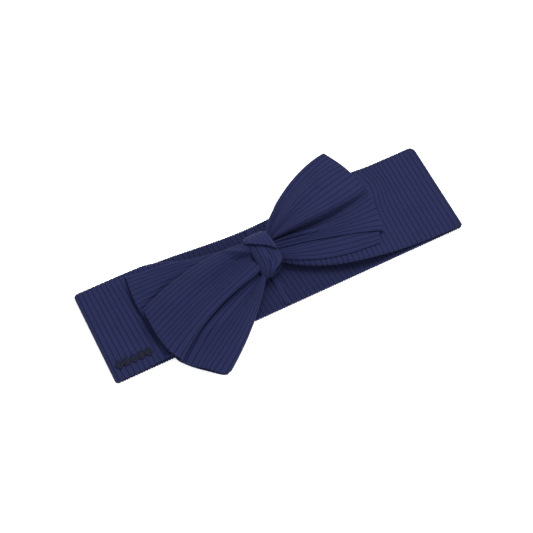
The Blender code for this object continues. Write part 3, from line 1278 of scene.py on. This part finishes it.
LEFT_BACK = WingShape(
    back_edge=((-0.0093, 0.0098), (-0.0402, 0.0166), (-0.0716, 0.0230)),
    chin_edge=((-0.0105, 0.0029), (-0.0394, -0.0142), (-0.0718, -0.0092)),
    bow_out=0.0016,
    crests=(
        Crest((0.0, 0.0, 0.0), (0.0098, 0.0086, 0.0060)),
        Crest((0.32, 0.23, 0.29), (0.0104, 0.0106, 0.0078)),
        Crest((0.54, 0.44, 0.55), (0.0100, 0.0101, 0.0076)),
        Crest((1.0, 1.0, 1.0), (0.0094, 0.0095, 0.0071)),
    ),
    bed=(0, 3),
    wrinkles=(
        Wrinkle((0.56, 0.33), (1.16, 0.83), 0.055, -0.0030),
        Wrinkle((0.05, 0.28), (0.80, 0.20), 0.040, -0.0005),
    ),
    rib_pitch=0.0023,
)
LEFT_FRONT = WingShape(
    back_edge=((-0.0071, 0.0095), (-0.0250, 0.0130), (-0.0450, 0.0105), (-0.0719, 0.0001)),
    chin_edge=((-0.0080, -0.0106), (-0.0239, -0.0326), (-0.0482, -0.0488)),
    bow_out=0.0084,
    crests=(
        Crest((0.0, 0.0, 0.0), (0.0124, 0.0128, 0.0107)),
        Crest((0.20, 0.19, 0.16), (0.0131, 0.0143, 0.0110)),
        Crest((0.31, 0.32, 0.30), (0.0099, 0.0110, 0.0090)),
        Crest((0.56, 0.50, 0.47), (0.0128, 0.0138, 0.0100)),
        Crest((0.78, 0.585, 0.60), (0.0128, 0.0136, 0.0100)),
        Crest((0.65, 0.50, 0.57), (0.0098, 0.0090, 0.0068)),
        Crest((0.79, 0.635, 0.67), (0.0093, 0.0080, 0.0064)),
        Crest((0.90, 0.86, 0.83), (0.0118, 0.0119, 0.0076)),
        Crest((1.0, 1.0, 1.0), (0.0095, 0.0075, 0.0046)),
    ),
    bed=(0, 2, 6, 8),
    wrinkles=(
        Wrinkle((-0.08, 0.36), (0.26, 0.02), 0.036, 0.0026),
        Wrinkle((-0.08, 0.45), (0.27, 0.13), 0.020, -0.0020),
        Wrinkle((-0.05, 0.56), (0.30, 0.47), 0.022, -0.0009),
        Wrinkle((0.10, 0.75), (0.50, 0.77), 0.030, -0.0006),
        Wrinkle((0.55, 0.40), (0.98, 0.42), 0.060, 0.0007),
    ),
    rib_pitch=0.00255,
    corner=(0.035, 0.06),
    peak=(0.57, 0.24, 0.0011),
)
RIGHT_BACK = WingShape(
    back_edge=((0.0046, 0.0018), (0.0331, -0.0010), (0.0608, -0.0021)),
    chin_edge=((0.0050, -0.0043), (0.0264, -0.0184), (0.0541, -0.0181)),
    bow_out=0.0004,
    crests=(
        Crest((0.0, 0.0, 0.0), (0.0094, 0.0095, 0.0072)),
        Crest((0.42, 0.37, 0.45), (0.0104, 0.0101, 0.0074)),
        Crest((0.78, 0.72, 0.80), (0.0103, 0.0100, 0.0071)),
        Crest((1.0, 1.0, 1.0), (0.0088, 0.0086, 0.0061)),
    ),
    bed=(0, 3),
)
RIGHT_FRONT = WingShape(
    back_edge=((0.0035, 0.0110), (0.0090, 0.0210), (0.0320, 0.0375), (0.0523, 0.0405)),
    chin_edge=((0.0034, 0.0018), (0.0317, -0.0042), (0.0594, -0.0129)),
    bow_out=0.0055,
    crests=(
        Crest((0.0, 0.0, 0.0), (0.0115, 0.0124, 0.0110)),
        Crest((0.07, 0.10, 0.06), (0.0095, 0.0128, 0.0112)),
        Crest((0.29, 0.24, 0.19), (0.0121, 0.0160, 0.0115)),
        Crest((0.39, 0.47, 0.36), (0.0118, 0.0156, 0.0112)),
        Crest((0.53, 0.68, 0.55), (0.0122, 0.0152, 0.0108)),
        Crest((0.48, 0.67, 0.59), (0.0092, 0.0086, 0.0092)),
        Crest((0.67, 0.79, 0.68), (0.0108, 0.0113, 0.0098)),
        Crest((0.86, 0.90, 0.83), (0.0115, 0.0119, 0.0096)),
        Crest((1.0, 1.0, 1.0), (0.0105, 0.0108, 0.0085)),
    ),
    bed=(0, 5, 8),
    wrinkles=(
        Wrinkle((-0.08, 0.060), (0.34, 0.020), 0.020, 0.0009),
        Wrinkle((-0.08, 0.125), (0.44, 0.050), 0.015, -0.0022),
        Wrinkle((-0.05, 0.74), (0.42, 0.79), 0.018, 0.0016),
        Wrinkle((-0.05, 0.80), (0.45, 0.84), 0.017, -0.0018),
        Wrinkle((-0.05, 0.90), (0.34, 0.89), 0.024, 0.0012),
        Wrinkle((0.10, 0.36), (0.70, 0.30), 0.050, -0.0007),
    ),
    rib_pitch=0.00262,
)


FRONT_ROOT_HEIGHT = 0.0128
FRONT_ROOT_PULL = 0.90


@dataclass
class Wing:
    """A doubled wing: an under ply, a pleated top ply rolled round it, and the end's seam allowance."""

    dresser: Dresser
    name: str
    shape: WingShape
    side: Side
    root_body: str
    body: str
    knot_edge: float
    tuck: float = 0.0030
    ply: float = 0.0006
    ply_step: float = 0.0010
    rest_gap: float = 0.00015
    root_height: float = 0.0106
    root_pull: float = 0.45
    root_gather: float = 0.4
    bend_start: float = 0.0005
    bend_run: float = 0.0100
    rows: int = 84
    under_rows: int = 48
    under_steps: int = 4
    under_margin: float = 0.3
    row_ease: float = 0.20
    outer_half: tuple[float, float] = (0.6, 1.0)
    roll_steps: int = 6
    seam_span: tuple[float, float] = (0.945, 0.985)
    seam_rows: int = 7
    seam_ply: float = 0.0003
    seam_relief: RibRelief = field(default_factory=lambda: RibRelief(depth=0.0001))

    def plan(self, u: Array, across: Array) -> Array:
        """Plan point: along the ruled line between both edges at u, bowed out towards the free end.

        The bow is u squared times its size times the sine of the place across, plus a straight-sided peak.

        Args:
            u: share of the way from knot to free end, below 0 inside the knot.
            across: place between the back edge and the chin edge.

        Returns:
            X and Y.
        """
        held = np.clip(u, 0.0, 1.0)
        back = bezier(self.shape.back_edge, held)
        chin = bezier(self.shape.chin_edge, held)
        line = chin - back
        outward = unit(np.stack([line[..., 1], -line[..., 0]], -1))
        outward = outward * np.sign(outward[..., :1] * self.side.value)
        place, reach, size = self.shape.peak
        peak = size * np.maximum(1.0 - np.abs(across - place) / reach, 0.0)
        bowed = held**2 * (self.shape.bow_out * np.sin(math.pi * np.clip(across, 0.0, 1.0)) + peak)
        return back + line * across[..., None] + outward * bowed[..., None]

    def strands(self, u: Array, crests: tuple[Crest, ...]) -> tuple[Array, Array]:
        """Place across and height of each crest along u, as parabolas through its three values.

        Args:
            u: shares from knot to free end.
            crests: the crests to follow.

        Returns:
            Places and heights, one row a crest.
        """
        across = np.stack([through(*crest.across, u) for crest in crests])
        height = np.stack([through(*crest.height, u) for crest in crests])
        return across, height

    def cloth_shares(self) -> Array:
        """Share of the cloth's width at each crest, from the distances between crests at the outer half.

        Returns:
            One share a crest, from 0 to 1.
        """
        u = np.array(self.outer_half)
        across, height = self.strands(u, self.shape.crests)
        plan = self.plan(np.broadcast_to(u, across.shape), across)
        points = np.concatenate([plan, height[..., None]], -1)
        steps = np.linalg.norm(np.diff(points, axis=0), axis=-1).mean(axis=1)
        self.cloth_width = float(steps.sum())
        return np.concatenate([[0.0], np.cumsum(steps)]) / steps.sum()

    def sampled(self, rows: int) -> Array:
        """Shares from knot to free end, closer together at both ends, below 0 in the tuck.

        Args:
            rows: how many shares.

        Returns:
            The rising shares.
        """
        run = abs(self.shape.back_edge[-1][0]) - abs(self.knot_edge)
        t = np.linspace(0.0, 1.0, rows)
        eased = t - self.row_ease * np.sin(2.0 * math.pi * t) / (2.0 * math.pi)
        return -self.tuck / run + (1.0 + self.tuck / run) * eased

    def tucked(self, u: Array, surface: Array) -> Array:
        """Draw the part below u of 0 into the knot: towards its middle in X, and together in Y and Z.

        Args:
            u: share along the wing at each point.
            surface: grid of points.

        Returns:
            The grid with its tuck drawn in.
        """
        run = abs(self.shape.back_edge[-1][0]) - abs(self.knot_edge)
        depth = np.maximum(-u, 0.0) * run
        share = depth / self.tuck * self.root_pull
        drawn = surface.copy()
        drawn[..., 0] -= self.side.value * depth
        drawn[..., 1] *= 1.0 - self.root_gather * share
        drawn[..., 2] += (self.root_height - drawn[..., 2]) * share
        return drawn

    def top_surface(self, u: Array, shares: Array) -> Array:
        """Middle surface of the top ply: splines through the crests, over the plan's ruled lines.

        Args:
            u: one value a row.
            shares: cloth shares, one a column.

        Returns:
            Grid of points.
        """
        held = np.clip(u, 0.0, 1.0)
        across, height = self.strands(held, self.shape.crests)
        knots = self.cloth_shares()
        read = spline(knots, np.stack([across, height], -1), shares)
        read = np.swapaxes(read, 0, 1)
        grid_u = self.cornered(u, shares)
        plan = self.plan(grid_u, read[..., 0])
        surface = np.concatenate([plan, read[..., 1:]], -1)
        return self.tucked(grid_u, surface)

    def cornered(self, u: Array, shares: Array) -> Array:
        """Grid of u with the corner between the free end and the chin edge cut back as a quarter circle.

        Args:
            u: one share a row.
            shares: cloth shares, one a column.

        Returns:
            One share along the wing for each point.
        """
        depth, width = self.shape.corner
        grid_u = np.repeat(u[:, None], len(shares), 1)
        if depth == 0.0:
            return grid_u
        entered = np.clip((shares - (1.0 - width)) / width, 0.0, 1.0)
        cut = depth * (1.0 - np.sqrt(1.0 - entered**2))
        return grid_u * (1.0 - cut[None, :] * (grid_u > 0))

    def wrinkled(self, u: Array, shares: Array, surface: Array) -> Array:
        """Add the wing's wrinkles to the height of its grid.

        Args:
            u: one share a row.
            shares: cloth shares, one a column.
            surface: grid of points.

        Returns:
            The risen grid.
        """
        along, across = np.meshgrid(u, shares, indexing="ij")
        risen = surface.copy()
        for wrinkle in self.shape.wrinkles:
            risen[..., 2] += wrinkle.height(along, across)
        return risen

    def bed_surface(self, u: Array, shares: Array) -> Array:
        """Middle surface of the under ply: a plain bed between a few of the crests, one ply step lower.

        Args:
            u: one share a row.
            shares: cloth shares, one a column.

        Returns:
            Grid of points.
        """
        crests = tuple(self.shape.crests[index] for index in self.shape.bed)
        across, height = self.strands(np.clip(u, 0.0, 1.0), crests)
        rows = [np.interp(shares, across[:, index], height[:, index]) for index in range(len(u))]
        grid_u = self.cornered(u, shares)
        plan = self.plan(grid_u, np.repeat(shares[None, :], len(u), 0))
        bed = self.tucked(grid_u, np.concatenate([plan, np.array(rows)[..., None]], -1))
        bed[..., 2] -= self.ply_step
        return bed

    def facing_up(self, surface: Array) -> Array:
        """Normals of a wing's grid, all on the upper side at its ends."""
        found = normals(surface)
        return found if self.side is Side.LEFT else -found

    def cloth(self, name: str, surface: Array, rib: Array) -> Cloth:
        """Slab on a wing's grid, face upwards.

        Args:
            name: name of the piece.
            surface: grid of points.
            rib: rib numbers.

        Returns:
            The cloth.
        """
        if self.side is Side.RIGHT:
            surface, rib = surface[:, ::-1], rib[:, ::-1]
        return Cloth(name, surface, rib, arc_rows(surface), self.ply)

    def build(self) -> None:
        dresser, half = self.dresser, self.ply / 2.0
        self.cloth_shares()
        ribs = round(self.cloth_width / self.shape.rib_pitch)
        margin = self.under_margin / ribs

        shares = np.linspace(margin, 1.0 - margin, ribs * self.under_steps + 1)
        u = self.sampled(self.under_rows)
        bed = dresser.pile.rest(self.bed_surface(u, shares), half + self.rest_gap)
        under_rib = np.repeat(shares[None, :] * ribs, len(u), 0)
        under = self.cloth(f"{self.name}_under_knit", bed, under_rib)
        under_piece = under.build()
        dresser.pile.lay(bed, half)

        shares = np.linspace(0.0, 1.0, ribs * RIB_STEPS + 1)
        u = self.sampled(self.rows)
        free = self.wrinkled(u, shares, self.top_surface(u, shares))
        laid = dresser.pile.rest(free, half + self.rest_gap)
        rib = np.repeat(shares[None, :] * ribs + 0.5, len(u), 0)
        surface, rib = curl_edges(laid, rib, self.ply_step / 2.0, self.roll_steps, self.facing_up(laid))
        top = self.cloth(f"{self.name}_top_knit", surface, rib)
        top_piece = top.build()
        dresser.pile.lay(laid, half)

        seam = self.end_seam(bed)
        seam_piece = seam.build()
        finishes = (
            (under_piece, "under_ply", Slot.RIB),
            (top_piece, "top_ply", Slot.RIB),
            (seam_piece, "end_seam", Slot.THREAD),
        )
        for piece, part, slot in finishes:
            dresser.finish(piece, f"{self.name}_{part}", slot, self.carrier())
        panel = f"{self.side.name.lower()}_front_outer_knit"
        dresser.declare(under_piece, under, Fold.GATHERED, [panel])
        dresser.declare(top_piece, top, Fold.GATHERED, [under.name])

    def end_seam(self, bed: Array) -> Cloth:
        """Seam allowance between the plies near the free end, half a ply step above the under ply.

        Args:
            bed: the under ply's grid.

        Returns:
            The allowance's cloth.
        """
        u = self.sampled(self.under_rows)
        span = np.linspace(*self.seam_span, self.seam_rows)
        strip = spline(u, bed, span)[:, 2:-2]
        strip[..., 2] += self.ply_step / 2.0
        if self.side is Side.RIGHT:
            strip = strip[:, ::-1]
        rib = np.repeat(np.linspace(0.0, 1.0, len(span))[:, None], strip.shape[1], 1)
        name = f"{self.name}_end_overlock"
        return Cloth(name, strip, rib, arc_columns(strip), self.seam_ply, self.seam_relief)

    def carrier(self) -> Carrier:
        """The wing's carrier: its body and its root's body, with a short run at the root that nothing bends
        over.
        """
        sign = self.side.value
        start = (self.knot_edge + sign * self.bend_start, 0.0, self.root_height)
        end = (self.knot_edge + sign * self.bend_run, 0.0, self.root_height)
        return Carrier(self.body, self.root_body, start, end)


# ---------------------------------------------------------------- knot


@dataclass(frozen=True)
class WrapCrease:
    """A ridge, or with a negative rise a crease, that runs round the wrap and sways across its width."""

    rise: float
    centre: float
    width: float
    sway: float = 0.0
    lead: float = 0.0
    angle: float = 0.0
    reach: float = math.inf

    def height(self, theta: Array, w: Array) -> Array:
        """Rise at places on the wrap: a bell across the width times a bell of the angle.

        Args:
            theta: angles round the knot.
            w: places across the wrap, from -1 to 1.

        Returns:
            Heights in metres.
        """
        wander = self.centre + self.sway * np.sin(theta + self.lead)
        return self.rise * bump(w, wander, self.width) * bump(theta, self.angle, self.reach)


WRAP_CREASES = (
    WrapCrease(-0.0008, -0.60, 0.06),
    WrapCrease(0.0005, -0.78, 0.10),
    WrapCrease(-0.0012, -0.18, 0.06, 0.22, 0.4, 2.05, 0.60),
    WrapCrease(0.0006, -0.01, 0.09, 0.22, 0.4, 2.10, 0.65),
    WrapCrease(-0.0009, 0.42, 0.06, -0.25, 0.0, 2.00, 0.60),
    WrapCrease(0.0005, 0.62, 0.10, 0.0, 0.0, 2.20, 0.70),
)


@dataclass
class FlapSizes:
    """Sizes of the knot's flap: its left edge's places at a few angles, and its lip, droop and right edge."""

    degrees: tuple[float, ...] = (18.0, 34.0, 54.0, 66.0, 79.0, 93.0)
    cut_mm: tuple[float, ...] = (-9.0, -9.6, -8.7, -5.8, -1.2, 2.2)
    rows: int = 90
    columns: int = 60
    ply: float = 0.0010
    rise: float = 0.0007
    right_inset: float = 0.0006
    lip: float = 0.0003
    lip_width: float = 0.0016
    droop: float = 0.0009
    tip_from: float = 0.70
    tip_run: float = 0.35
    right_from: float = 0.80
    right_run: float = 0.2
    rib_rate: float = 1.4
    rib_depth: float = 0.00006


@dataclass
class CoreSizes:
    """Sizes of the gathered core, as shares of its node's half sizes."""

    flutes: float = 14.0
    flute_depth: float = 0.08
    end_girth: float = 0.34
    middle_girth: float = 0.36
    length: float = 0.56
    turns: int = 180
    columns: int = 25
    ply: float = 0.0005
    rib_depth: float = 0.0001


@dataclass
class Knot:
    """The knot: a ribbed wrap round the gathers, the flap of its end over the top, and the gathered core."""

    dresser: Dresser
    ply: float = 0.0012
    tip_from: float = 0.45
    tip_half: float = 0.0028
    tip_shift: float = 0.0040
    tip_draw: float = 0.12
    back_half: float = 0.0055
    back_shift: float = 0.0010
    turns: int = 220
    columns: int = 120
    ribs: int = 8
    crown: float = 0.0003
    edge_roll: float = 0.0012
    rib_depth: float = 0.00030
    loose: FlapSizes = field(default_factory=FlapSizes)
    bundle: CoreSizes = field(default_factory=CoreSizes)

    def __post_init__(self) -> None:
        """Read the knot's place and size from its nodes."""
        low, high = corners(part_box("knot_wrap"))
        self.centre = (low + high) / 2.0
        self.half = (high - low) / 2.0

    def ellipse(self, angle: Array, outside: Array, x: Array) -> Array:
        """Point round the knot: X as given, Y and Z on an ellipse that is let out by a distance.

        Args:
            angle: angles round the knot, from its back.
            outside: distance outside the ellipse.
            x: places along the band.

        Returns:
            Grid of points.
        """
        y = (self.half[1] + outside) * np.cos(angle)
        z = self.centre[2] + (self.half[2] + outside) * np.sin(angle)
        return np.stack([x, y, z], -1)

    def wrap(self) -> Cloth:
        """The wrap: an elliptical sweep that leans over and narrows to its chin side.

        Past a start on the chin side its half width falls and its middle shifts with the square of how far
        the cosine has gone on. Its edges roll in with the fifth power of the place across.

        Returns:
            The wrap's cloth.
        """
        angle = np.linspace(0.0, 2.0 * math.pi, self.turns, endpoint=False)
        theta, w = np.meshgrid(angle, np.linspace(-1.0, 1.0, self.columns), indexing="ij")
        chin = np.clip((-np.cos(theta) - self.tip_from) / (1.0 - self.tip_from), 0.0, 1.0) ** 2
        back = np.maximum(np.cos(theta), 0.0) ** 2
        half = self.half[0] - (self.half[0] - self.tip_half) * chin - (self.half[0] - self.back_half) * back
        x = self.centre[0] - self.tip_shift * chin + self.back_shift * back + half * w
        outside = self.crown * (1.0 - w * w) - self.edge_roll * np.abs(w) ** 5 - self.ply / 2.0
        outside = outside + sum(crease.height(theta, w) for crease in WRAP_CREASES)
        surface = self.ellipse(theta, outside, x)
        surface[..., 1] *= 1.0 - self.tip_draw * chin
        rib = (w + 1.0) / 2.0 * self.ribs
        relief = RibRelief(depth=self.rib_depth)
        return Cloth("knot_wrap_knit", surface, rib, arc_rows(surface), self.ply, relief, ring=True)

    def flap(self) -> Cloth:
        """The flap: from behind the knot over its top, its left edge cut back along a spline of the angle.

        Its left edge lifts as a lip that decays inwards, and both its left tip and its right edge droop by a
        smooth step.

        Returns:
            The flap's cloth.
        """
        sizes = self.loose
        degrees = np.array(sizes.degrees)
        right = self.centre[0] + self.half[0] - sizes.right_inset
        angle = np.linspace(degrees[0], degrees[-1], sizes.rows)
        left = spline(degrees, np.array(sizes.cut_mm)[:, None] * MM, angle)
        theta, u = np.meshgrid(np.radians(angle), np.linspace(0.0, 1.0, sizes.columns), indexing="ij")
        x = left + (right - left) * u
        tip = (self.centre[0] - sizes.tip_from * self.half[0] - x) / (sizes.tip_run * self.half[0])
        lip = sizes.lip * np.exp(-(x - left) / sizes.lip_width) - sizes.droop * smooth_step(tip)
        edge = sizes.droop * smooth_step((u - sizes.right_from) / sizes.right_run)
        surface = self.ellipse(theta, sizes.rise + sizes.ply / 2.0 + lip - edge, x)
        rib = (x - right) / RIB_PITCH * sizes.rib_rate
        relief = RibRelief(depth=sizes.rib_depth)
        return Cloth("knot_flap_knit", surface, rib, arc_rows(surface), sizes.ply, relief)

    def core(self) -> Cloth:
        """The gathered core: a fluted bundle along X whose ends draw in as a quarter circle does.

        Returns:
            The core's cloth.
        """
        low, high = corners(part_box("gathered_core"))
        centre, half = (low + high) / 2.0, (high - low) / 2.0
        sizes = self.bundle
        angle = np.linspace(0.0, 2.0 * math.pi, sizes.turns, endpoint=False)
        theta, s = np.meshgrid(angle, np.linspace(-1.0, 1.0, sizes.columns), indexing="ij")
        flute = 1.0 + sizes.flute_depth * np.cos(sizes.flutes * theta)
        girth = flute * (sizes.end_girth + sizes.middle_girth * np.sqrt(np.maximum(1.0 - s * s, 0.0)))
        x = centre[0] + half[0] * sizes.length * s
        y = centre[1] + half[1] * girth * np.cos(theta)
        z = centre[2] + half[2] * girth * np.sin(theta)
        surface = np.stack([x, y, z], -1)
        rib = theta * sizes.flutes / (2.0 * math.pi)
        along = np.abs(s) * half[0]
        relief = RibRelief(depth=sizes.rib_depth)
        return Cloth("gathered_core_knit", surface, rib, along, sizes.ply, relief, ring=True)

    def build(self) -> None:
        dresser = self.dresser
        core, wrap, flap = self.core(), self.wrap(), self.flap()
        rows = (
            (core, "gathered_core", Slot.INSIDE, "back_inner_knit"),
            (wrap, "knot_wrap", Slot.RIB, core.name),
            (flap, "knot_flap", Slot.RIB, wrap.name),
        )
        for cloth, node, slot, beneath in rows:
            piece = cloth.build()
            dresser.finish(piece, node, slot, Carrier("bow"))
            dresser.declare(piece, cloth, Fold.GATHERED, [beneath])


# ---------------------------------------------------------------- studio


@dataclass(frozen=True)
class Lamp:
    """A square area lamp: where it hangs, how it is turned, its side and its power."""

    name: str
    place: Point
    turn: Point
    size: float
    power: float

    def hang(self) -> None:
        """Add the lamp to the scene."""
        data = bpy.data.lights.new(self.name, "AREA")
        data.shape = "SQUARE"
        data.size = self.size
        data.energy = self.power
        made = bpy.data.objects.new(self.name, data)
        made.location = self.place
        made.rotation_euler = self.turn
        bpy.context.scene.collection.objects.link(made)


LAMPS = (
    Lamp("overhead_softbox", (0.38, 0.34, 1.15), (-0.27, 0.32, 0.0), 0.7, 22.5),
    Lamp("front_fill", (0.10, -1.0, 0.9), (0.84, 0.0, 0.0), 1.0, 9.5),
)


@dataclass
class Studio:
    """White floor, soft light, pale surroundings and the camera."""

    low: Array
    high: Array
    azimuth: float = math.radians(-26.67)
    elevation: float = math.radians(63.07)
    distance_share: float = 3.773
    aim_share: tuple[float, float] = (-0.01445, -0.0052)
    lens: float = 97.8
    sensor: float = 36.0
    near_clip: float = 0.01
    floor_reach: float = 4.0
    floor_drop: float = 0.00015
    surround: float = 0.90

    def camera(self) -> None:
        """Stand the camera at its angle, a share of the band's length away, aimed near the band's middle."""
        length = float(self.high[0] - self.low[0])
        aim = np.array([self.aim_share[0] * length, self.aim_share[1] * length, float(self.low[2])])
        level = math.cos(self.elevation)
        direction = np.array(
            [math.sin(self.azimuth) * level, -math.cos(self.azimuth) * level, math.sin(self.elevation)]
        )
        data = bpy.data.cameras.new("studio_camera")
        data.lens = self.lens
        data.sensor_width = self.sensor
        data.clip_start = self.near_clip
        made = bpy.data.objects.new("studio_camera", data)
        made.location = aim + direction * self.distance_share * length
        made.rotation_euler = (math.pi / 2 - self.elevation, 0.0, self.azimuth)
        bpy.context.scene.collection.objects.link(made)
        bpy.context.scene.camera = made

    def floor(self) -> None:
        """Lay the white floor just under the band, as one flat grid of points."""
        line = np.linspace(-self.floor_reach, self.floor_reach, 5)
        x, y = np.meshgrid(line, line, indexing="ij")
        level = np.full_like(x, float(self.low[2]) - self.floor_drop)
        points = np.stack([x, y, level], -1).reshape(-1, 3)
        quads = grid_faces(np.arange(x.size).reshape(x.shape))
        made = make_mesh("studio_floor", points, quads, points[:, :2])
        made.data.materials.append(FloorFinish().build())
        made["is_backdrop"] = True

    def build(self) -> None:
        """Set up the camera, floor, lamps and the pale surroundings."""
        self.camera()
        self.floor()
        for lamp in LAMPS:
            lamp.hang()
        world = bpy.data.worlds.new("studio_white")
        world.use_nodes = True
        backdrop = world.node_tree.nodes["Background"]
        backdrop.inputs["Color"].default_value = (1.0, 1.0, 1.0, 1.0)
        backdrop.inputs["Strength"].default_value = self.surround
        bpy.context.scene.world = world
        bpy.context.scene.view_settings.view_transform = "Standard"


def main() -> None:
    """Build the studio round the frame's bounds, then the headband."""
    logging.basicConfig(level=logging.INFO, format="%(message)s")
    frame_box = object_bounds()
    low, high = corners(frame_box)
    Studio(low, high).build()
    band = BandSizes()
    dresser = Dresser(Finishes(), band, Pile())
    BackHalf(dresser).build()

    wrap_low, wrap_high = corners(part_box("knot_wrap"))
    edges = {Side.LEFT: float(wrap_low[0]) - band.ply_gap, Side.RIGHT: float(wrap_high[0]) + band.ply_gap}
    left = FrontPanel(dresser, Side.LEFT, edges[Side.LEFT], gather_run=0.019, rib_lean=-0.08)
    right = FrontPanel(dresser, Side.RIGHT, edges[Side.RIGHT], push=0.0034, draw_in=0.05)
    left.build()
    right.build()
    CornerMotif(dresser, left).build()

    for side, back, front in ((Side.LEFT, LEFT_BACK, LEFT_FRONT), (Side.RIGHT, RIGHT_BACK, RIGHT_FRONT)):
        back_body, front_body = (f"{side.name.lower()}_{layer}_wing" for layer in ("back", "front"))
        Wing(dresser, back_body, back, side, "bow", back_body, edges[side]).build()
        pulled = {"root_height": FRONT_ROOT_HEIGHT, "root_pull": FRONT_ROOT_PULL}
        Wing(dresser, front_body, front, side, back_body, front_body, edges[side], **pulled).build()
    Knot(dresser).build()

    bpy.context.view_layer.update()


if __name__ == "__main__":
    main()
